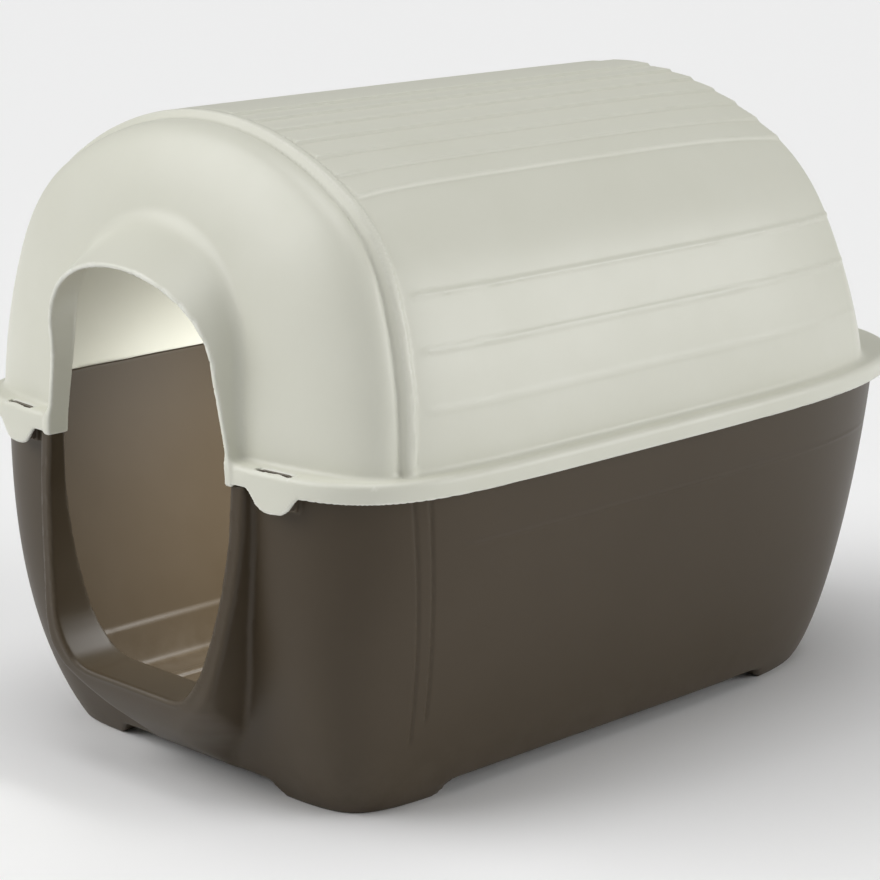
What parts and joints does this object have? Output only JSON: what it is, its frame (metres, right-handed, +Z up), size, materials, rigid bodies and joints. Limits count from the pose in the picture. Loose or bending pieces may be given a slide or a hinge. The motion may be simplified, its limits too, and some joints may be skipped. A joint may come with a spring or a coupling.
{
  "type": "dog house",
  "caption": "Moulded two-part dog house: a dark tub with a U-shaped doorway and porch under a pale arched roof with a hood, a rear vent and a drain plug.",
  "frame": {"origin": "on the ground under the middle of the house's bounding box", "axes": "+Z up, -Y is the doorway's side, +X is to the right of someone who faces the doorway"},
  "size_m": [0.4307, 0.6294, 0.4352],
  "materials": {
    "tub_plastic": "satin",
    "roof_plastic": "satin",
    "tongue_plastic": "satin",
    "vent_plastic": "satin",
    "plug_rubber": "matt"
  },
  "bodies": {
    "tub": {"base_tub": "tub_plastic", "front_right_tongue": "tongue_plastic", "front_left_tongue": "tongue_plastic", "rear_right_tongue": "tongue_plastic", "rear_left_tongue": "tongue_plastic"},
    "roof": {"roof_shell": "roof_plastic", "vent_grille": "vent_plastic", "vent_rivet": "vent_plastic"},
    "shutter": {"vent_shutter": "vent_plastic"},
    "plug": {"drain_plug": "plug_rubber"}
  },
  "joints": [
    {"name": "roof_lift", "type": "slide", "parent": "tub", "child": "roof", "axis": [0, 0, 1], "range_m": [0, 0.25]},
    {"name": "vent_turn", "type": "hinge", "parent": "roof", "child": "shutter", "pos_m": [0, 0.2475, 0.318], "axis": [0, 0.829, 0.5592], "range_deg": [0, 30]},
    {"name": "drain_pull", "type": "slide", "parent": "tub", "child": "plug", "axis": [0, 0, 1], "range_m": [0, 0.03]}
  ]
}
